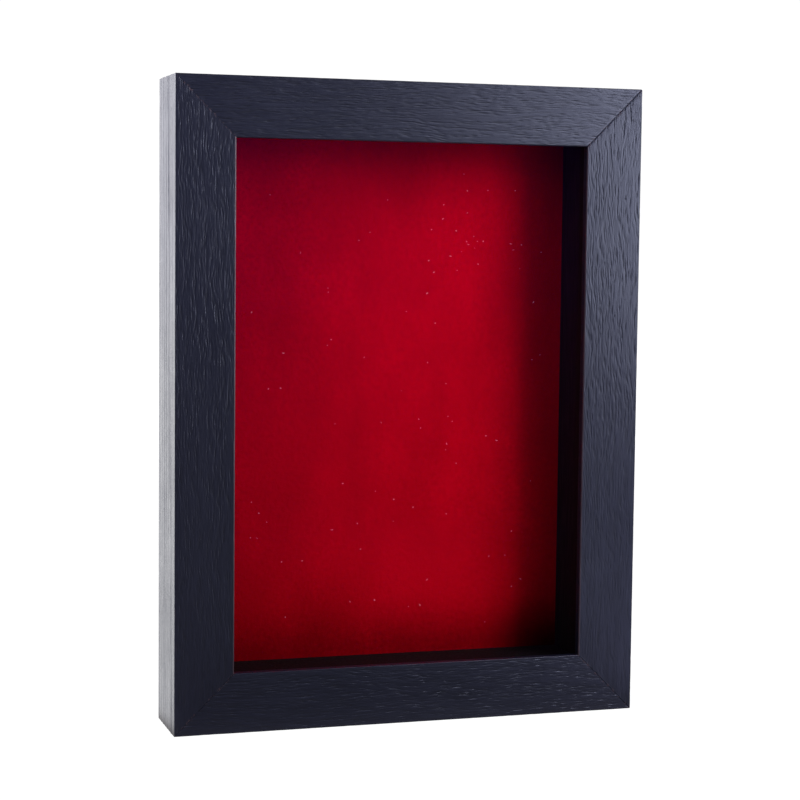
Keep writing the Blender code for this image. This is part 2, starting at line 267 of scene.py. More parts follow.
def own_axes(tree):
    """The same, as outputs named X, Y and Z."""
    return add(tree, "SeparateXYZ", Vector=own_place(tree)).outputs


def noise(tree, scale, detail, roughness, place=(0, 0, 0), contrast=(0.3, 0.7)):
    """Noise over the object's own coordinates, from 0 to 1; scale is cycles per metre.

    The scale is a number, or one for each axis.
    """
    if isinstance(scale, int):
        scale = (scale,) * 3
    vector = add(tree, "Mapping", Vector=own_place(tree), Scale=scale, Location=place).outputs[0]
    texture = add(tree, "TexNoise", Vector=vector, Scale=1.0, Detail=detail, Roughness=roughness)
    return remap(tree, texture.outputs["Fac"], *contrast, kind="LINEAR")


def mix_colour(tree, factor, first, second):
    """One colour into another by a factor."""
    return add(tree, "Mix", {"data_type": "RGBA"}, i0=factor, i6=first, i7=second).outputs[2]


def combine(tree, operation, first, second, kind="Math"):
    """Arithmetic on two values, or on two vectors if the kind is VectorMath."""
    return add(tree, kind, {"operation": operation}, i0=first, i1=second).outputs[0]


def length_of(tree, vector):
    """The length of a vector."""
    return add(tree, "VectorMath", {"operation": "LENGTH"}, i0=vector).outputs["Value"]


def bump(tree, height, distance, strength, under=None):
    """A bump from a 0 to 1 height, on top of another if one is given."""
    inputs = {"Height": height, "Distance": distance, "Strength": strength, "Normal": under}
    return add(tree, "Bump", **inputs).outputs[0]


def surface(tree, colour, rough, relief=None, **others):
    """A Principled shader joined to the tree's output, with a bump if one is given."""
    inputs = {"Base_Color": colour, "Roughness": rough, "Normal": relief}
    shader = add(tree, "BsdfPrincipled", **inputs, **others)
    add(tree, "OutputMaterial", Surface=shader.outputs[0])


def along_grain(upright, along, across):
    """A scale for noise that runs along Z on an upright piece and along X on a level one."""
    return (across, across, along) if upright else (along, across, across)


def wood_material(name, upright, place, specular):
    """Blue-black stained open-grain wood with a satin finish."""
    material, tree = new_material(name)
    layers = [add(tree, "Attribute", {"attribute_name": label}) for label in ("pore", "wear_and_highlight")]
    pore, wear_and_highlight = (layer.outputs["Fac"] for layer in layers)
    bands = noise(tree, along_grain(upright, 9, 160), 3, 0.6, place)
    fibres = noise(tree, along_grain(upright, 70, 1500), 3, 0.65, place, (0.35, 0.65))
    cloud = noise(tree, 22, 2, 0.5, place)
    stain = mix_colour(tree, fibres, rgb(0.0036, 0.0040, 0.0100), rgb(0.0086, 0.0094, 0.0215))
    stain = mix_colour(tree, span(tree, bands, 0.0, 0.55), stain, rgb(0.0100, 0.0108, 0.0235))
    stain = mix_colour(tree, span(tree, pore, 0.0, 0.85), stain, rgb(0.0016, 0.0016, 0.0032))
    # Paler where the layer says so: real wear on knocked arrises, and a painted highlight along the inner
    # arris.
    stain = mix_colour(tree, wear_and_highlight, stain, rgb(0.110, 0.066, 0.074))
    rough = span(tree, combine(tree, "MULTIPLY", fibres, cloud), 0.29, 0.40)
    rough = combine(tree, "ADD", rough, span(tree, pore, 0.0, 0.15))
    fine = noise(tree, along_grain(upright, 220, 5200), 2, 0.6, place)
    relief = bump(tree, fibres, 0.00006, 0.6)
    relief = bump(tree, fine, 0.000025, 0.6, relief)
    tint = rgb(0.72, 0.75, 1.0)
    surface(tree, stain, rough, relief, Specular_IOR_Level=specular, Specular_Tint=tint)
    return material


def glass_material():
    """Anti-reflective float glass: clear, with a faint violet reflection painted stronger to the upper
    left, and a pale one at a slant.
    """
    material, tree = new_material("clear_glass_looks")
    slant = combine(tree, "POWER", add(tree, "LayerWeight", Blend=0.5).outputs["Facing"], 3.0)
    place = own_axes(tree)
    # Stronger upwards and to the left: a painted reflection on top of the glass's real one.
    upper = remap(tree, place["Z"], 0.05, 0.27)
    leftward = remap(tree, place["X"], -0.1, 0.1, 1.0, 0.4, "LINEAR")
    painted_reflection_share = combine(tree, "MULTIPLY", upper, leftward)
    reflection_tint = mix_colour(tree, painted_reflection_share, rgb(0.02, 0.002, 0.04), rgb(0.35, 0.004, 1.0))
    tint = mix_colour(tree, slant, reflection_tint, rgb(0.8, 0.8, 0.9))
    fresnel = add(tree, "Fresnel", IOR=1.45).outputs[0]
    back = add(tree, "NewGeometry").outputs["Backfacing"]
    facing = combine(tree, "SUBTRACT", 1.0, back)
    share = combine(tree, "MULTIPLY", fresnel, facing)
    clear = add(tree, "BsdfTransparent", Color=rgb(0.985, 0.985, 0.985))
    gloss = add(tree, "BsdfGlossy", Color=tint, Roughness=0.02)
    shader = add(tree, "MixShader", i0=share, i1=clear.outputs[0], i2=gloss.outputs[0])
    add(tree, "OutputMaterial", Surface=shader.outputs[0])
    return material


def soft_spot(tree, centre, reach):
    """1 at a point of the piece, and down to 0 at its reach along each axis."""
    offset = combine(tree, "SUBTRACT", own_place(tree), centre, "VectorMath")
    share = combine(tree, "DIVIDE", offset, reach, "VectorMath")
    return remap(tree, length_of(tree, share), 0.0, 1.0, 1.0, 0.0)


def velvet_material():
    """Short-pile crimson velvet: brushed in places, lighter in one soft patch, with painted shade at its
    ends and lower right corner.
    """
    material, tree = new_material("red_velvet_looks")
    clumps = noise(tree, 420, 4, 0.6)
    patches = noise(tree, 26, 3, 0.6, (3, 0, 1))
    drift = noise(tree, 8, 1, 0.5, (7, 2, 5))
    pile = noise(tree, 3600, 2, 0.6)
    red = mix_colour(tree, clumps, rgb(0.33, 0.0003, 0.0050), rgb(0.57, 0.0006, 0.0094))
    red = mix_colour(tree, span(tree, patches, 0.0, 0.6), red, rgb(0.33, 0.0003, 0.0045))
    red = mix_colour(tree, span(tree, drift, 0.0, 0.35), red, rgb(0.61, 0.0008, 0.0110))
    brushed = noise(tree, (34, 34, 15), 2, 0.55, (1.3, 0, 4.4), (0.35, 0.65))
    red = mix_colour(tree, span(tree, brushed, 0.24, 0.0), red, rgb(0.16, 0.0002, 0.0022))
    # Lighter in a soft patch low in the middle.
    lighter_patch = soft_spot(tree, (0.010, VELVET_LOW.y, 0.074), (0.060, 1, 0.048))
    red = mix_colour(tree, span(tree, lighter_patch, 0.0, 0.30), red, rgb(0.66, 0.0010, 0.0120))
    rise = own_axes(tree)["Z"]
    # Darker towards the bottom and the top: painted shade where the spacers shade the velvet.
    foot = remap(tree, rise, 0.066, 0.030, 0.0, 0.44)
    top_shade = remap(tree, rise, 0.296, 0.321, 0.0, 0.34)
    for painted_shade in (foot, top_shade):
        red = mix_colour(tree, painted_shade, red, rgb(0.02, 0.0, 0.0003))
    # Darker in the lower right corner: painted shade from the rails.
    corner = soft_spot(tree, (0.100, VELVET_LOW.y, 0.028), (0.046, 1, 0.046))
    red = mix_colour(tree, span(tree, corner, 0.0, 0.95), red, rgb(0.008, 0.0, 0.0002))
    relief = bump(tree, clumps, 0.0004, 0.35)
    relief = bump(tree, pile, 0.00015, 0.5, relief)
    sheen = {"Sheen_Weight": 0.25, "Sheen_Roughness": 0.4, "Sheen_Tint": rgb(0.75, 0.0, 0.12)}
    surface(tree, red, 0.9, relief, Specular_IOR_Level=0.0, **sheen)
    return material


def paint_material():
    """Matt black paint on the spacers."""
    material, tree = new_material("black_paint_looks")
    streaks = noise(tree, (700, 700, 60), 3, 0.6)
    colour = mix_colour(tree, streaks, rgb(0.0018, 0.0016, 0.0022), rgb(0.0044, 0.0040, 0.0052))
    rough = span(tree, streaks, 0.55, 0.75)
    surface(tree, colour, rough, bump(tree, streaks, 0.00008, 0.5), Specular_IOR_Level=0.13)
    return material


def hardboard_material():
    """Brown pressed fibre board."""
    material, tree = new_material("hardboard_looks")
    fibres = noise(tree, (900, 900, 520), 5, 0.7)
    flakes = noise(tree, 240, 3, 0.6, (4, 1, 2))
    cloud = noise(tree, 18, 2, 0.5)
    colour = mix_colour(tree, fibres, rgb(0.105, 0.052, 0.024), rgb(0.27, 0.150, 0.076))
    colour = mix_colour(tree, span(tree, flakes, 0.0, 0.45), colour, rgb(0.075, 0.036, 0.017))
    colour = mix_colour(tree, span(tree, cloud, 0.0, 0.3), colour, rgb(0.26, 0.150, 0.080))
    rough = span(tree, fibres, 0.62, 0.85)
    surface(tree, colour, rough, bump(tree, fibres, 0.0001, 0.5), Specular_IOR_Level=0.35)
    return material


def metal_material(name, dark, light, low, high):
    """Plated or plain steel, with cloudy tone and fine scratches."""
    material, tree = new_material(name)
    cloud = noise(tree, 260, 3, 0.6)
    scratches = noise(tree, (5200, 400, 700), 2, 0.6)
    colour = mix_colour(tree, cloud, dark, light)
    rough = span(tree, combine(tree, "MULTIPLY", cloud, scratches), low, high)
    surface(tree, colour, rough, bump(tree, scratches, 0.00001, 0.4), Metallic=1.0)
    return material


def rubber_material():
    """Frosted translucent rubber."""
    material, tree = new_material("clear_rubber_looks")
    grit = noise(tree, 1500, 3, 0.6)
    colour = mix_colour(tree, grit, rgb(0.36, 0.36, 0.35), rgb(0.50, 0.50, 0.49))
    surface(tree, colour, span(tree, grit, 0.42, 0.6), bump(tree, grit, 0.00004, 0.5))
    return material


LOOKS = {
    "clear_glass": glass_material(),
    "black_paint": paint_material(),
    "hardboard": hardboard_material(),
    "zinc_plated_steel": metal_material(
        "zinc_looks", rgb(0.42, 0.44, 0.47), rgb(0.58, 0.59, 0.61), 0.28, 0.48
    ),
    "bare_steel": metal_material(
        "bare_steel_looks", rgb(0.20, 0.20, 0.21), rgb(0.34, 0.34, 0.35), 0.35, 0.6
    ),
    "clear_rubber": rubber_material(),
}


# ---------------- rails


def section(inner_arris):
    """The rail's L-shaped section as arrays of y, w and the normals in each, with the face numbers.

    w runs in from the rail's outer face to the opening. The points go round from the outer face to
    the front, the sight wall, the back of the lip, the rebate wall and the rear face.
    """
    corners = [
        (REAR, 0.0, ARRIS),
        (FRONT, 0.0, ARRIS),
        (FRONT, RAIL_WIDTH, inner_arris),
        (LIP_REAR, RAIL_WIDTH, SMALL_ARRIS),
        (LIP_REAR, REBATE, 0.0),
        (REAR, REBATE, SMALL_ARRIS),
    ]
    points = []
    for index, (y, w, radius) in enumerate(corners):
        before = Vector(corners[index - 1][:2])
        *after, next_radius = corners[(index + 1) % len(corners)]
        after = Vector(after)
        corner = Vector((y, w))
        into = (corner - before).normalized()
        out = (after - corner).normalized()
        into_normal = Vector((-into.y, into.x))
        out_normal = Vector((-out.y, out.x))
        if radius:
            centre = corner - into * radius + out * radius
            for step in range(ARC_STEPS + 1):
                turn = math.pi / 2 * step / ARC_STEPS
                normal = into_normal * math.cos(turn) + out_normal * math.sin(turn)
                points.append((*(centre + normal * radius), *normal, index - 0.5))
            start = centre + out_normal * radius
        else:
            points.append((*corner, *(into_normal + out_normal), index - 0.5))
            start = corner
        end = after - out * next_radius
        count = max(1, round((end - start).length / STEPS[index]))
        for step in range(1, count):
            points.append((*start.lerp(end, step / count), *out_normal, index))
    table = np.array(points)
    return table[:, :2], table[:, 2:4], table[:, 4]


def waves(rng, u, t, count, length_u, length_t):
    """A smooth random field from -1 to 1, as a sum of slanted waves."""
    field = np.zeros(np.broadcast(u, t).shape)
    for _ in range(count):
        along = 2 * math.pi / length_u * rng.uniform(0.5, 1.5) * rng.choice((-1, 1))
        across = 2 * math.pi / length_t * rng.uniform(0.5, 1.5)
        field = field + np.sin(along * u + across * t + rng.uniform(0, 2 * math.pi))
    return field / count


def add_pores(rng, u, t, drift, bands, half_length, lean):
    """Depth of open pores over (u, t): short grooves that follow the drift, thick in the dark bands."""
    q = t - drift
    t_line = t[0]
    grooves = np.zeros(u.shape)
    count = int((t_line[-1] - t_line[0]) * 2 * half_length / PORE_AREA)
    starts = rng.uniform(-half_length, half_length, count)
    lines = rng.uniform(t_line[0], t_line[-1], count)
    sizes = rng.uniform(0, 1, (count, 4))
    for u0, q0, (size, thin, deep, keep) in zip(starts, lines, sizes):
        row = min(np.searchsorted(u[:, 0], u0), u.shape[0] - 1)
        column = min(np.searchsorted(t_line, q0), u.shape[1] - 1)
        if keep > 0.55 + 0.8 * bands[row, column] + lean[column]:
            continue
        half = PORE_HALF[0] + PORE_HALF[1] * size**2
        width = PORE_WIDTH[0] + PORE_WIDTH[1] * thin
        reach = 3 * width + PORE_BEND
        centre = q0 + drift[row, column]
        low, high = np.searchsorted(t_line, (centre - reach, centre + reach))
        top, bottom = np.searchsorted(u[:, column], (u0 - half, u0 + half))
        if high <= low or bottom <= top:
            continue
        patch = (slice(max(0, top - 1), bottom + 1), slice(low, high))
        along = np.clip(1 - ((u[patch] - u0) / half) ** 2, 0, 1)
        across = np.exp(-(((q[patch] - q0) / width) ** 2))
        depth = PORE_DEPTH[0] + PORE_DEPTH[1] * deep**1.5
        grooves[patch] = np.maximum(grooves[patch], depth * along * across)
    return grooves


def grain_relief(rng, u, t, half_length, lean):
    """The wood's surface over (u, t), in metres: its soft bands, and its pores."""
    drift = DRIFT * waves(rng, u, t, 4, 0.100, 0.060) + SMALL_DRIFT * waves(rng, u, t, 4, 0.030, 0.025)
    q = t - drift
    bands = waves(rng, u * 0.05, q, 5, 0.050, 0.0065)
    height = 0.00003 * bands + 0.00002 * waves(rng, u * 0.1, q, 5, 0.05, 0.0019)
    return height, add_pores(rng, u, t, drift, bands, half_length, lean)


def outer_streaks(rng, u, t, low, high, line):
    """Relief of a rail's smoother outer face: long fine streaks, and one line that slants across."""
    streaks = waves(rng, u * 0.04, t, 9, 0.050, 0.0022) + 2.4 * waves(rng, u * 0.03, t, 7, 0.050, 0.0070)
    middle = low + (high - low) * (line[0] + (line[1] - line[0]) * (u / abs(u).max() + 1) / 2)
    middle = middle + 0.0004 * waves(rng, u, 0 * t, 4, 0.11, 1.0)
    ridge = np.exp(-(((t - middle) / LINE_WIDTH) ** 2))
    return STREAK_HEIGHT * streaks + LINE_HEIGHT * ridge


def grown_node(node):
    """A mesh of the frame's node pushed out by the gap all round, and past the rails' rear face."""
    form = bmesh.new()
    form.from_mesh(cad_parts[node].data)
    bmesh.ops.remove_doubles(form, verts=form.verts, dist=1e-6)
    bmesh.ops.recalc_face_normals(form, faces=form.faces)
    form.normal_update()
    nearly_rear = max(vertex.co.y for vertex in form.verts) - 0.0001
    pushed = [vertex.co + vertex.calc_shell_factor() * vertex.normal * GAP for vertex in form.verts]
    for vertex, place in zip(form.verts, pushed):
        at_rear = vertex.co.y > nearly_rear
        vertex.co = place
        if at_rear:
            vertex.co.y = REAR + OVERSHOOT
    mesh = bpy.data.meshes.new("scratch")
    form.to_mesh(mesh)
    form.free()
    return mesh


def slot_cutter(name, nails, screws):
    """One cutter mesh: a slightly larger copy of each nail, and a bore round each screw."""
    form = bmesh.new()
    for node in nails:
        scratch = grown_node(node)
        form.from_mesh(scratch)
        bpy.data.meshes.remove(scratch)
    for node in screws:
        low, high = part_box(node)
        centre = (low + high) / 2
        length = REAR + OVERSHOOT - low.y + GAP
        matrix = Matrix.Translation((centre.x, low.y - GAP + length / 2, centre.z))
        matrix = matrix @ Matrix.Rotation(math.radians(90), 4, "X")
        ends = {"radius1": SCREW_BORE, "radius2": SCREW_BORE, "depth": length}
        bmesh.ops.create_cone(form, cap_ends=True, segments=24, matrix=matrix, **ends)
    mesh = bpy.data.meshes.new(name)
    form.to_mesh(mesh)
    form.free()
    return new_object(name, mesh)


def rail_mesh(name, place, u, y, w, face, layers):
    """A rail from its rows of sections, with a second material inside, and its layers of point values."""
    rows, columns = u.shape
    sides = grid_faces(rows, columns, False)
    first = list(range(columns))
    last = [(rows - 1) * columns + step for step in first]
    faces = sides + [first[::-1], last]
    x_axis, y_axis, w_axis = (np.array(place(*axis)) - np.array(place(0, 0, 0)) for axis in np.eye(3))
    if np.dot(np.cross(x_axis, y_axis), w_axis) < 0:
        faces = [corners[::-1] for corners in faces]
    where = place(u.ravel(), y.ravel(), w.ravel())
    rail = mesh_object(name, np.stack(where, axis=-1).tolist(), faces, 40)
    inside = np.zeros(len(faces), dtype=np.int32)
    inside[: len(sides)] = np.tile(np.isin(face, (SIGHT, LIP - 0.5, LIP, WALL)), rows - 1)
    rail.data.materials.append(None)
    rail.data.materials.append(None)
    rail.data.polygons.foreach_set("material_index", inside)
    for label, values in layers.items():
        layer = rail.data.attributes.new(label, "FLOAT", "POINT")
        layer.data.foreach_set("value", np.clip(values, 0, 1).astype(np.float32).ravel())
    return rail


def rail_relief(rng, u, points, face, half_length, lean, line):
    """A rail's relief over its rows of sections, the depth of its pores, and its knocks."""
    gap = np.linalg.norm(np.roll(points, -1, axis=0) - points, axis=1)
    t = np.concatenate(([0], np.cumsum(gap)[:-1]))
    around = np.broadcast_to(t, u.shape)
    leaning = lean * (points[:, 1] / RAIL_WIDTH - 0.5)
    height, grooves = grain_relief(rng, u, around, half_length, leaning)
    outer_t = t[(face == OUTER - 0.5) | (face == OUTER)]
    streaks = outer_streaks(rng, u, around, outer_t[0], outer_t[-1], line)
    weights = np.select([face == number for number in PORE_WEIGHTS], PORE_WEIGHTS.values(), 0.0)
    pores = grooves * weights
    soft = np.where(np.isin(face, (OUTER, FACE, SIGHT, BACK)), 1.0, 0.3)
    arrises = (OUTER - 0.5, FACE - 0.5, SIGHT - 0.5)
    knocks = np.clip(waves(rng, u, around, 7, 0.021, 0.05) * 1.6 - 0.55, 0, 1)
    knocks = knocks * np.isin(face, arrises)
    relief = height * soft - pores + streaks * (face == OUTER)
    relief = relief + PORE_LIFT * np.isin(face, (OUTER, FACE) + arrises) - KNOCK_DEPTH * knocks
    return relief, pores, knocks


def make_rail(name, length, place, seed, mitre_gaps, lean, line, arris_highlight, inner_arris):
    """One mitred rail with open grain; place turns (u, y, w) into the frame's x, y, z.

    lean is how much denser its pores are towards the opening, line is where the outer face's line
    starts and ends, as shares of its depth, arris_highlight is how strongly a painted highlight
    lightens the inner arris at the rail's two ends, and inner_arris is that arris's radius.
    """
    rng = np.random.default_rng(seed)
    points, normals, face = section(inner_arris)
    half = length / 2
    share = np.linspace(-1, 1, round(length / ALONG_STEP) + 1)[:, None]
    ease = mitre_gaps[1] * (1 + share) / 2 - mitre_gaps[0] * (1 - share) / 2
    u = share * (half - points[None, :, 1]) - ease
    relief, pores, knocks = rail_relief(rng, u, points, face, half, lean, line)
    y = points[:, 0] + relief * normals[:, 0]
    w = points[:, 1] + relief * normals[:, 1]
    u = share * (half - np.maximum(w, 0)) - ease
    inset_y, inset_w = (points - MITRE_INSET * normals).T
    inset_u = half - inset_w - MITRE_TOUCH
    # Pale marks: real wear where the arrises are knocked, and a painted highlight along the inner arris.
    arris_highlight_share = arris_highlight[0] + (arris_highlight[1] - arris_highlight[0]) * (share + 1) / 2
    wear_and_highlight = 0.35 * knocks + arris_highlight_share * (face == SIGHT - 0.5)
    wear_and_highlight[[0, -1]] += 0.6 * (rng.uniform(size=(2, len(face))) > 0.86)
    layers = {
        "pore": np.vstack((pores[:1], pores, pores[-1:])) / DEEPEST_PORE,
        "wear_and_highlight": np.vstack((0 * wear_and_highlight[:1], wear_and_highlight, 0 * wear_and_highlight[-1:])),
    }
    u = np.vstack((-inset_u, u, inset_u))
    y = np.vstack((inset_y, y, inset_y))
    w = np.vstack((inset_w, w, inset_w))
    return rail_mesh(name, place, u, y, w, face, layers)


def rail_place(side):
    """How a rail's (u, y, w), which run along, through and across it, lie in the frame's x, y, z."""
    left = CASE_LOW.x
    right = CASE_HIGH.x
    places = {
        "bottom": lambda u, y, w: (u, y, np.maximum(w, 0)),
        "top": lambda u, y, w: (u, y, HEIGHT - w),
        "left": lambda u, y, w: (left + w, y, MIDDLE + u),
        "right": lambda u, y, w: (right - w, y, MIDDLE + u),
    }
    return places[side]


def cut_slots(rail, side):
    """Slots and bores for the nails and screws on the rail's side."""
    nails = [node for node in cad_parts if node.startswith("v_nail") and side in node]
    screws = [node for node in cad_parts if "screw_" + side in node]
    cutter = slot_cutter(side + "_slots", nails, screws)
    modifier = rail.modifiers.new("slots", "BOOLEAN")
    modifier.operation = "DIFFERENCE"
    modifier.solver = "EXACT"
    modifier.object = cutter
    graph = bpy.context.evaluated_depsgraph_get()
    mesh = bpy.data.meshes.new_from_object(rail.evaluated_get(graph))
    rail.modifiers.clear()
    rail.data = mesh
    bpy.data.objects.remove(cutter)


def add_rails():
    """The four rails in place of the frame's plain ones."""
    tight, close, fair, wide = 0.00005, 0.00012, 0.00022, 0.00058
    # Each side: seed, mitre gaps, pore lean, outer line, painted highlight along the inner arris at its two
    # ends, inner arris radius.
    traits = {
        "bottom": (11, (close, fair), 0.0, (0.4, 0.6), (0, 0.1), CRISP_ARRIS),
        "top": (12, (tight, wide), 0.0, (0.3, 0.4), (0, 0), INNER_ARRIS),
        "left": (13, (close, tight), 0.1, (0.84, 0.56), (0.3, 1.0), INNER_ARRIS),
        "right": (14, (fair, wide), 0.7, (0.3, 0.7), (0.2, 0.2), INNER_ARRIS),
    }
    for side, (seed, *others) in traits.items():
        upright = side in ("left", "right")
        length = HEIGHT if upright else WIDTH
        rail = make_rail(side + "_rail_grained", length, rail_place(side), seed, *others)
        origin = (seed * 3.1, seed * 1.7, seed * 2.3)
        rail.data.materials[0] = wood_material("stained_wood_" + side, upright, origin, 0.5)
        rail.data.materials[1] = wood_material("stained_wood_inside_" + side, upright, origin, 0.1)
        cut_slots(rail, side)
        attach(rail, "case")
        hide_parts(side + "_rail")


# ---------------- velvet


def turn_edges(vertices, faces, ring, turned, half_x, half_z, start_y):
    """Carry a sheet's edge on round its border: each step of turned is how far along Y, and how far out."""
    previous = ring
    for back, out in turned:
        current = []
        for i in ring:
            x, _, z = vertices[i]
            side_x = (x > half_x - 1e-6) - (x < -half_x + 1e-6)
            side_z = (z > MIDDLE + half_z - 1e-6) - (z < MIDDLE - half_z + 1e-6)
            current.append(len(vertices))
            vertices.append([x + side_x * out, start_y + back, z + side_z * out])
        for a in range(len(ring)):
            b = (a + 1) % len(ring)
            faces.append([previous[b], previous[a], current[a], current[b]])
        previous = current
    return previous


def add_velvet():
    """The velvet, stretched over the board's front and turned over its edges."""
    rng = np.random.default_rng(21)
    corner = 0.0004
    rim = 0.0007
    half_x = VELVET_HIGH.x - corner
    half_z = (VELVET_HIGH.z - VELVET_LOW.z) / 2 - corner
    x, z = sheet_grid(half_x, half_z, 0.00085)
    nap = 0.00003 * rng.normal(size=x.shape)
    ripple = 0.00012 * waves(rng, x, z, 8, 0.045, 0.060) + 0.00005 * waves(rng, x, z, 9, 0.009, 0.012)
    front = VELVET_LOW.y + SHEET_INSET
    vertices, faces, ring = sheet_mesh(x, front + (ripple + nap) * edge_fade(x, z, 0.006), z)
    depth = REAR - front
    turned = eased_corner(corner)
    turned += [(depth * part, corner) for part in (0.35, 0.6, 0.85)]
    turned += [(depth, corner - 0.0001), (depth, corner - rim), (depth - 0.0012, corner - rim - 0.0001)]
    turn_edges(vertices, faces, ring, turned, half_x, half_z, front)
    velvet = mesh_object("velvet", vertices, faces, 60)
    velvet.data.materials.append(velvet_material())
    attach(velvet, "case")
    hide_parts("velvet_lining")


# ---------------- board, spacers and hardware


def add_piece(piece, node, body, slot):
    """Join a piece to its body, in place of the frame's node."""
    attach(piece, body)
    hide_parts(node)
    piece.data.materials.append(LOOKS[slot])


def lathe(name, radii, heights, foot):
    """A solid turned about a line along Y through foot, from rings of radii and heights."""
    rows, segments = radii.shape
    angle = full_turn(segments)
    rings = (foot[0] + radii * np.cos(angle), foot[1] + heights, foot[2] + radii * np.sin(angle))
    vertices = np.stack(rings, axis=-1).reshape(-1, 3).tolist()
    faces = grid_faces(rows, segments, False)
    first = len(vertices)
    last_ring = (rows - 1) * segments
    for row in (0, -1):
        vertices.append([foot[0], foot[1] + float(heights[row].mean()), foot[2]])
    for step in range(segments):
        after = (step + 1) % segments
        faces.append([first, after, step])
        faces.append([first + 1, last_ring + step, last_ring + after])
    return mesh_object(name, vertices, faces, 40, closed=True)


def sweep(name, path, across, through, section_a, section_b):
    """A bar along a path: each of its rows is a loop of points across it and through it."""
    rows = path[:, None, :] + across[:, None, :] * section_a[..., None]
    rows = rows + through[:, None, :] * section_b[..., None]
    count, columns = rows.shape[:2]
    faces = grid_faces(count, columns, False)
    index = np.arange(count * columns).reshape(count, columns)
    faces += [index[0].tolist(), index[-1].tolist()]
    return mesh_object(name, rows.reshape(-1, 3).tolist(), faces, 35, closed=True)


def rounded_section(half_width, half_thick, radius, steps):
    """A rectangle with rounded corners for each of the half widths, with points along its wide sides."""
    half = np.asarray(half_width)[:, None]
    turns = np.radians(np.linspace(0, 90, 5))
    a_parts = []
    b_parts = []
    for start, side, face in ((0, 1, 1), (90, -1, 1), (180, -1, -1), (270, 1, -1)):
        angle = turns + math.radians(start)
        a_parts.append(side * (half - radius) + radius * np.cos(angle))
        b_parts.append(face * (half_thick - radius) + radius * np.sin(angle))
        if side == face:
            share = np.linspace(1, -1, steps + 2)[1:-1] * side
            a_parts.append((half - radius) * share)
            b_parts.append(np.full(steps, face * half_thick))
    b_row = np.concatenate(b_parts)
    section_a = np.concatenate(a_parts, axis=1)
    return section_a, np.broadcast_to(b_row, section_a.shape)


def add_screw(node, rng):
    """A pan-head wood screw with a cross recess, turned to its own angle, and a thread."""
    low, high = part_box(node)
    seat = ((low.x + high.x) / 2, high.y - HEAD_HEIGHT, (low.z + high.z) / 2)
    angle = full_turn(SCREW_SIDES)
    slope = np.radians(np.linspace(3, 90, 26))[:, None]
    head_r = HEAD_RADIUS * np.sin(slope) * np.ones(SCREW_SIDES)
    head_y = HEAD_RIM + (HEAD_HEIGHT - HEAD_RIM) * np.cos(slope)
    turned = angle + rng.uniform(0, math.pi / 2)
    first = abs(head_r * np.cos(turned))
    second = abs(head_r * np.sin(turned))
    inside = np.full(head_r.shape, -1.0)
    for along, beside in ((first, second), (second, first)):
        arm = RECESS_WIDTH / 2 * (1 - 0.3 * along / RECESS_REACH)
        inside = np.maximum(inside, np.minimum(arm - beside, RECESS_REACH - along))
    depth = RECESS_DEPTH * (1 - 0.5 * head_r / RECESS_REACH)
    head_y = head_y - depth * np.clip(inside / 0.00010 + 0.4, 0, 1)
    neck = [(HEAD_RADIUS, 0.0002), (0.00302, 0.00003), (0.0026, 0), (0.00128, 0), (SHANK_RADIUS, -0.0004)]
    neck = np.array(neck)
    thread_y = np.arange(-0.0006, -SCREW_LENGTH, -THREAD_PITCH / 8)[:, None]
    crest = SHANK_RADIUS * np.clip((SCREW_LENGTH + thread_y) / SCREW_POINT, 0.03, 1)
    phase = (thread_y / THREAD_PITCH + angle / (2 * math.pi)) % 1
    thread_r = crest * (0.72 + 0.28 * abs(2 * phase - 1) ** 2)
    ones = np.ones(SCREW_SIDES)
    radii = np.vstack((head_r, neck[:, :1] * ones, thread_r))
    heights = np.vstack((head_y, neck[:, 1:] * ones, thread_y * ones))
    screw = lathe(node + "_threaded", radii, heights, seat)
    add_piece(screw, node, "case", "zinc_plated_steel")


def add_button(label):
    """A stamped turn button with rolled edges: a tapered tongue, round at both ends, on its screw."""
    node = "turn_button_" + label
    low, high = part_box(node)
    screw_low, screw_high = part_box("button_screw_" + label)
    pivot = (screw_low + screw_high) / 2
    pivot.y = (low.y + high.y) / 2
    ahead = (low + high) / 2 - pivot
    ahead.normalize()
    aside = Vector((ahead.z, 0, -ahead.x))
    half_thick = (high.y - low.y) / 2
    tip = BUTTON_REACH - TIP_RADIUS
    slope = math.degrees(math.asin((PIVOT_RADIUS - TIP_RADIUS) / tip))
    tip_turn = np.radians(np.linspace(slope - 90, 90 - slope, 37))
    end_turn = np.radians(np.linspace(90 - slope, 270 + slope, 49))
    turns = np.concatenate((tip_turn, end_turn))
    at_tip = np.arange(len(turns)) < len(tip_turn)
    normal = np.stack((np.cos(turns), np.sin(turns)), axis=-1)
    outline = normal * np.where(at_tip, TIP_RADIUS, PIVOT_RADIUS)[:, None]
    outline[:, 0] += np.where(at_tip, tip, 0)
    hole = normal * HOLE_RADIUS
    quarter = np.radians(np.linspace(0, 90, 5))
    flat = half_thick - ROLLED_EDGE
    edge = [(0, ROLLED_EDGE * (math.cos(a) - 1), flat + ROLLED_EDGE * math.sin(a)) for a in quarter]
    face = [(share, ROLLED_EDGE * (2 * share - 1), half_thick) for share in (0.2, 0.4, 0.6, 0.8)]
    bore = [(1, -out, rise) for _, out, rise in reversed(edge)]
    upper = edge + face + bore
    loop = upper + [(share, out, -rise) for share, out, rise in reversed(upper)]
    rows = []
    for share, out, rise in loop:
        flat_place = outline * (1 - share) + hole * share + normal * out
        point = np.array(pivot) + flat_place[:, :1] * np.array(ahead) + flat_place[:, 1:] * np.array(aside)
        point[:, 1] += rise
        rows.append(point)
    vertices = np.concatenate(rows).tolist()
    faces = grid_faces(len(loop), len(turns), True)
    button = mesh_object(node + "_stamped", vertices, faces, 40, closed=True)
    add_piece(button, node, node, "zinc_plated_steel")


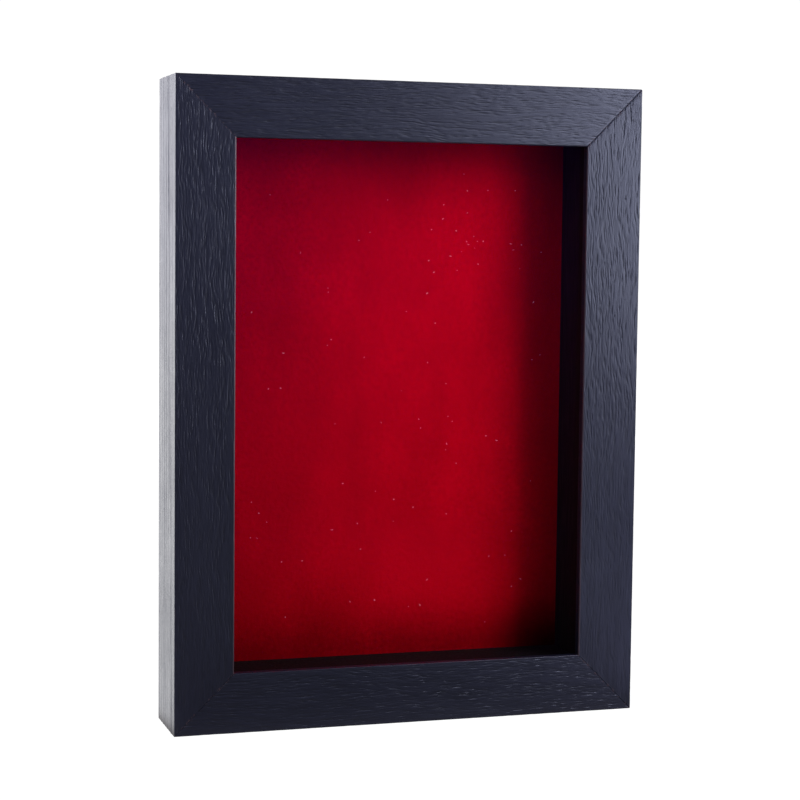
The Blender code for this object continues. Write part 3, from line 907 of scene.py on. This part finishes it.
def add_ring(side):
    """A D-ring of round wire, with its bar in the strap's fold."""
    node = "d_ring_" + side
    low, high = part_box(node)
    bar = np.array(((low.x + high.x) / 2, (low.y + high.y) / 2, high.z - RING_WIRE))
    corner = np.radians(np.linspace(90, 0, 10))
    bow = np.radians(np.linspace(0, -180, 57))
    turns = np.concatenate((corner, bow, corner[::-1]))
    outward = np.stack((np.cos(turns), 0 * turns, np.sin(turns)), axis=-1)
    outward[-len(corner) :, 0] *= -1
    counts = (len(corner), len(bow), len(corner))
    middles = ((RING_BAR, 0, -RING_CORNER), (0, 0, -RING_SIDE), (-RING_BAR, 0, -RING_CORNER))
    centre = np.repeat(middles, counts, axis=0)
    radius = np.repeat((RING_CORNER, RING_RADIUS, RING_CORNER), counts)
    path = bar + centre + outward * radius[:, None]
    around = full_turn(RING_SIDES)
    sides = outward[:, None, :] * np.cos(around)[:, None] + np.array((0, 1, 0)) * np.sin(around)[:, None]
    vertices = (path[:, None, :] + RING_WIRE * sides).reshape(-1, 3).tolist()
    faces = grid_faces(len(turns), RING_SIDES, True)
    ring = mesh_object(node + "_wire", vertices, faces, 60, closed=True)
    add_piece(ring, node, node, "zinc_plated_steel")


def add_strap(side):
    """A hanger strap: sheet folded round the D-ring's bar, with its free end's corners rounded."""
    node = "hanger_strap_" + side
    low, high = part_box(node)
    outer = RING_WIRE + GAP + STRAP_SHEET
    middle = outer - STRAP_SHEET / 2
    x = (low.x + high.x) / 2
    bar_y = low.y + outer
    bar_z = high.z - outer
    run = bar_z - low.z
    near = STRAP_CORNER * (1 - np.cos(np.radians(np.linspace(4, 90, 12))))
    drop = np.concatenate((near, np.linspace(STRAP_CORNER, run, 30)[1:]))
    turn = np.radians(np.linspace(180, KNUCKLE_END, 44))[1:]
    knuckle = np.stack((0 * turn, np.cos(turn), np.sin(turn)), axis=-1)
    through = np.vstack((np.tile((0.0, -1.0, 0.0), (len(drop), 1)), knuckle))
    path = np.array((x, bar_y, 0)) + middle * through
    path[:, 2] += np.concatenate((low.z + drop, np.full(len(turn), bar_z)))
    half_width = np.full(len(path), (high.x - low.x) / 2)
    cut_back = np.clip(1 - drop / STRAP_CORNER, 0, 1)
    half_width[: len(drop)] -= STRAP_CORNER * (1 - np.sqrt(1 - cut_back**2))
    across = np.tile((1.0, 0.0, 0.0), (len(path), 1))
    section_a, section_b = rounded_section(half_width, STRAP_SHEET / 2, 0.00018, 6)
    strap = sweep(node + "_folded", path, across, through, section_a, section_b)
    add_piece(strap, node, "case", "zinc_plated_steel")


def add_bumper(side):
    """A moulded rubber bumper with a soft shoulder and a flat end."""
    node = "wall_bumper_" + side
    low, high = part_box(node)
    height = high.y - low.y
    wide = (high.x - low.x) / 2
    profile = [(0.0004, height), (0.0018, height), (0.0031, height)]
    for turn in np.radians(np.linspace(90, 20, 8)):
        profile.append((0.0031 + 0.0008 * math.cos(turn), height - 0.0008 * (1 - math.sin(turn))))
    profile += [(0.0043, 0.82 * height), (0.0046, 0.72 * height), (0.00475, 0.60 * height)]
    profile += [(0.00485, 0.35 * height), (0.00490, 0.12 * height), (wide, 0.08 * height)]
    profile += [(wide, 0.02 * height), (wide - 0.0001, 0), (0.0030, 0), (0.0005, 0)]
    table = np.array(profile)
    ones = np.ones(64)
    foot = ((low.x + high.x) / 2, low.y, (low.z + high.z) / 2)
    bumper = lathe(node + "_moulded", table[:, :1] * ones, table[:, 1:] * ones, foot)
    add_piece(bumper, node, "case", "clear_rubber")


def add_spacer(side, seed):
    """A painted wooden strip between the glass and the velvet, with eased edges and brush marks."""
    node = side + "_spacer"
    low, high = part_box(node)
    upright = side in ("left", "right")
    run, thick = (2, 0) if upright else (0, 2)
    count = round((high[run] - low[run]) / 0.002)
    path = np.tile(np.array((low + high) / 2), (count + 1, 1))
    path[:, run] = np.linspace(low[run], high[run], count + 1)
    across = np.tile((0.0, 1.0, 0.0), (count + 1, 1))
    through = np.zeros(path.shape)
    through[:, thick] = 1
    half_width = np.full(count + 1, (high.y - low.y) / 2)
    half_thick = (high[thick] - low[thick]) / 2
    section_a, section_b = rounded_section(half_width, half_thick, 0.0003, 40)
    rng = np.random.default_rng(seed)
    along = path[:, run : run + 1]
    marks = waves(rng, 0.04 * along, section_a, 9, 0.05, 0.0030)
    swell = waves(rng, along, section_a, 5, 0.09, 0.04)
    wide_side = abs(section_b) > half_thick - 0.00001
    section_b = section_b - np.sign(section_b) * wide_side * (0.00006 + 0.00005 * marks + 0.00002 * swell)
    strip = sweep(node + "_painted", path, across, through, section_a, section_b)
    add_piece(strip, node, "case", "black_paint")


def add_board():
    """The hardboard back panel, with the fine fibre relief of its rear face."""
    rng = np.random.default_rng(27)
    corner = 0.0003
    half_x = BOARD_HIGH.x - corner
    half_z = (BOARD_HIGH.z - BOARD_LOW.z) / 2 - corner
    x, z = sheet_grid(half_x, half_z, 0.0011)
    fibre = 0.00002 * rng.normal(size=x.shape) + 0.00006 * waves(rng, x, z, 8, 0.07, 0.05)
    rear = BOARD_HIGH.y - BOARD_INSET
    vertices, faces, ring = sheet_mesh(x, rear + fibre * edge_fade(x, z, 0.004), z)
    depth = rear - BOARD_LOW.y
    turned = eased_corner(corner)
    turned += [(depth * part, corner) for part in (0.4, 0.7)]
    turned += [(depth - 0.0001, corner), (depth, corner - 0.0001)]
    turned = [(-back, out) for back, out in turned]
    faces.append(turn_edges(vertices, faces, ring, turned, half_x, half_z, rear))
    board = mesh_object("fibre_board", vertices, faces, 60, closed=True)
    add_piece(board, "back_board", "case", "hardboard")


def add_hardware():
    """Every screw, turn button, hanger and bumper, finer than the frame's own."""
    rng = np.random.default_rng(33)
    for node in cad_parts:
        if "_screw_" in node:
            add_screw(node, rng)
    for label in ("left_upper", "left_lower", "right_upper", "right_lower", "top", "bottom"):
        add_button(label)
    for side in ("left", "right"):
        add_strap(side)
        add_ring(side)
        add_bumper(side)
    for seed, side in enumerate(("left", "right", "top", "bottom")):
        add_spacer(side, seed + 41)


# ---------------- lint


def lint_material():
    """Pale fluff."""
    material, tree = new_material("lint_looks")
    tone = noise(tree, 900, 1, 0.5)
    colour = mix_colour(tree, tone, rgb(0.50, 0.16, 0.20), rgb(0.85, 0.55, 0.60))
    surface(tree, colour, 0.9, Specular_IOR_Level=0.1)
    return material


def lint_rows(rng, start):
    """Rings of points along one bent fibre that lies on the velvet from start, an x and a z."""
    heading = rng.uniform(0, 2 * math.pi)
    bend = rng.uniform(-0.9, 0.9)
    length = 0.0006 + 0.0008 * rng.uniform() ** 2
    radius = 0.00010 + 0.00015 * rng.uniform() ** 1.5
    points = []
    place = start
    for row in range(LINT_ROWS):
        ahead = np.array((math.cos(heading), math.sin(heading)))
        beside = np.array((-ahead[1], ahead[0]))
        thick = radius * (1 if 0 < row < LINT_ROWS - 1 else 0.5)
        for turn in full_turn(LINT_SIDES):
            x, z = place + beside * thick * math.cos(turn)
            points.append([x, VELVET_LOW.y - LINT_RISE - thick * math.sin(turn), z])
        place = place + ahead * length / (LINT_ROWS - 1)
        heading = heading + bend
    return points


def add_lint():
    """A few short pale fibres that lie on the velvet, some of them close together in its upper right."""
    rng = np.random.default_rng(52)
    size = VELVET_HIGH - VELVET_LOW
    vertices = []
    faces = []
    for number in range(LINT_COUNT):
        share = rng.uniform(0.06, 0.94, 2)
        if number < LINT_CLUSTER:
            share = (0.74, 0.80) + 0.10 * rng.normal(size=2)
        share = np.clip(share, 0.05, 0.93)
        start = np.array((VELVET_LOW.x + size.x * share[0], VELVET_LOW.z + size.z * share[1]))
        first = len(vertices)
        vertices += lint_rows(rng, start)
        last = len(vertices) - LINT_SIDES
        faces += [[first + i for i in quad] for quad in grid_faces(LINT_ROWS, LINT_SIDES, False)]
        faces += [list(range(end, end + LINT_SIDES)) for end in (first, last)]
    lint = mesh_object("lint", vertices, faces, 60, closed=True)
    lint.data.materials.append(lint_material())
    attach(lint, "case")


# ---------------- the frame's own nodes


def dress_nodes():
    """Give the glass and the nails, the frame's own nodes that still show, their procedural materials."""
    for name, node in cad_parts.items():
        if name.startswith("glazing"):
            slot = "clear_glass"
        elif name.startswith("v_nail"):
            slot = "bare_steel"
        else:
            continue
        node.data.materials.clear()
        node.data.materials.append(LOOKS[slot])
        node.data.shade_smooth()
        node.data.set_sharp_from_angle(angle=math.radians(35))


# ---------------- stage, light and camera


def floor_dim(tree, axes):
    """How much of the floor's glow the front of the box gets."""
    near = remap(tree, axes["Y"], -0.45, -0.06, 0.17, 0.0)
    right = remap(tree, axes["X"], 0.02, 0.20, 0.0, 0.16)
    within = remap(tree, axes["Y"], -1.0, -0.45)
    glow = combine(tree, "MULTIPLY", combine(tree, "ADD", near, right), within)
    return combine(tree, "ADD", glow, remap(tree, axes["Y"], -1.0, -0.45, 0.22, 0.20))


def add_floor():
    """A plain pale floor: it fades to white behind the box, and it throws little light forward."""
    size = 6.0
    corners = [(-size, -size, 0), (size, -size, 0), (size, size, 0), (-size, size, 0)]
    floor = mesh_object("floor", corners, [(0, 1, 2, 3)])
    material, tree = new_material("pale_floor")
    axes = own_axes(tree)
    beside = remap(tree, axes["X"], -0.144, -0.130, 0.11, 0.0)
    behind = remap(tree, combine(tree, "ADD", axes["Y"], beside), -0.08, 0.16)
    pale = add(tree, "BsdfDiffuse", Color=rgb(0.85, 0.85, 0.86))
    white = add(tree, "Emission", Color=rgb(1, 1, 1), Strength=1.12)
    lift = remap(tree, length_of(tree, own_place(tree)), 0.4, 2.0, 0.9, 1.0)
    seen = add(tree, "MixShader", i0=lift, i1=pale.outputs[0], i2=white.outputs[0])
    path = add(tree, "LightPath").outputs
    dim = span(tree, path["Is Diffuse Ray"], floor_dim(tree, axes), 0.10)
    room = remap(tree, axes["Y"], 0.2, 0.7, 1.8, 2.15)
    hue = mix_colour(tree, behind, rgb(1.0, 0.95, 0.89), rgb(1, 1, 1))
    cast = add(tree, "Emission", Color=hue, Strength=span(tree, behind, dim, room))
    both = add(tree, "MixShader", i0=path["Is Camera Ray"], i1=cast.outputs[0], i2=seen.outputs[0])
    add(tree, "OutputMaterial", Surface=both.outputs[0])
    floor.data.materials.append(material)


def add_world():
    """A bright room behind the box and a dim one in front, lighter above; white where the camera looks."""
    world = bpy.data.worlds.new("studio")
    bpy.context.scene.world = world
    world.use_nodes = True
    tree = world.node_tree
    tree.nodes.clear()
    axes = add(tree, "SeparateXYZ", Vector=add(tree, "TexCoord").outputs["Generated"]).outputs
    turned = combine(tree, "ADD", axes["Y"], combine(tree, "MULTIPLY", axes["X"], 0.35))
    back = remap(tree, turned, -0.30, 0.40)
    above = remap(tree, axes["Z"], -0.05, 0.45)
    right = remap(tree, axes["X"], 0.0, 0.5)
    high = remap(tree, axes["Z"], 0.3, 0.7)
    front = mix_colour(tree, above, rgb(0.20, 0.20, 0.23), rgb(0.26, 0.27, 0.38))
    behind = mix_colour(tree, right, rgb(2.25, 2.24, 2.38), rgb(1.0, 1.0, 1.05))
    behind = mix_colour(tree, high, behind, rgb(0.6, 0.6, 0.62))
    path = add(tree, "LightPath").outputs
    diffuse = span(tree, path["Is Diffuse Ray"], 1.0, span(tree, back, 0.2, 0.55))
    room = add(tree, "Background", Color=mix_colour(tree, back, front, behind), Strength=diffuse)
    white = add(tree, "Background", Color=rgb(1, 1, 1), Strength=1.05)
    both = add(tree, "MixShader", i0=path["Is Camera Ray"], i1=room.outputs[0], i2=white.outputs[0])
    add(tree, "OutputWorld", Surface=both.outputs[0])


def add_light(name, place, target, size, radiance, colour=(1, 1, 1)):
    """A soft rectangular light aimed at a point; its radiance doesn't depend on its size."""
    light = bpy.data.lights.new(name, "AREA")
    light.shape = "RECTANGLE"
    light.size, light.size_y = size
    light.energy = radiance * math.pi * size[0] * size[1]
    light.color = colour
    lamp = new_object(name, light)
    lamp.location = place
    lamp.rotation_euler = (Vector(target) - Vector(place)).to_track_quat("-Z", "Y").to_euler()
    lamp.visible_camera = False
    return lamp


def add_lights():
    """A window to the right and in front, and dim lights that the glass doesn't mirror."""
    add_light("key", (0.445, -0.47, 0.45), (0.0, 0.0, 0.17), (0.30, 0.62), 8.2, (0.95, 0.97, 1.0))
    for name, place, target, size, radiance in (
        ("bounce", (0.24, -0.17, 0.003), (0.24, -0.17, 1.0), (0.24, 0.24), 5.4),
        ("side", (-0.30, -0.13, 0.42), (0.06, 0.02, 0.20), (0.10, 0.16), 13.0),
        ("fill", (-0.60, -0.42, 0.35), (0.0, 0.0, 0.17), (0.40, 0.55), 0.45),
    ):
        add_light(name, place, target, size, radiance).visible_glossy = False


def add_camera():
    """The camera, in front of the box's left half and a little above its middle."""
    camera = bpy.data.cameras.new("camera")
    camera.sensor_width = 36
    camera.lens = 90.68
    eye = new_object("camera", camera)
    eye.location = (-0.3355, -1.0660, 0.2649)
    turn = Matrix.Rotation(math.radians(-17.431), 3, "Z")
    tilt = Matrix.Rotation(math.radians(90 - 4.509), 3, "X")
    roll = Matrix.Rotation(math.radians(0.640), 3, "Z")
    eye.rotation_euler = (turn @ tilt @ roll).to_euler()
    bpy.context.scene.camera = eye
    bpy.context.scene.view_settings.view_transform = "Standard"


add_camera()
add_world()
add_floor()
add_lights()
add_rails()
add_velvet()
add_board()
add_hardware()
add_lint()
dress_nodes()
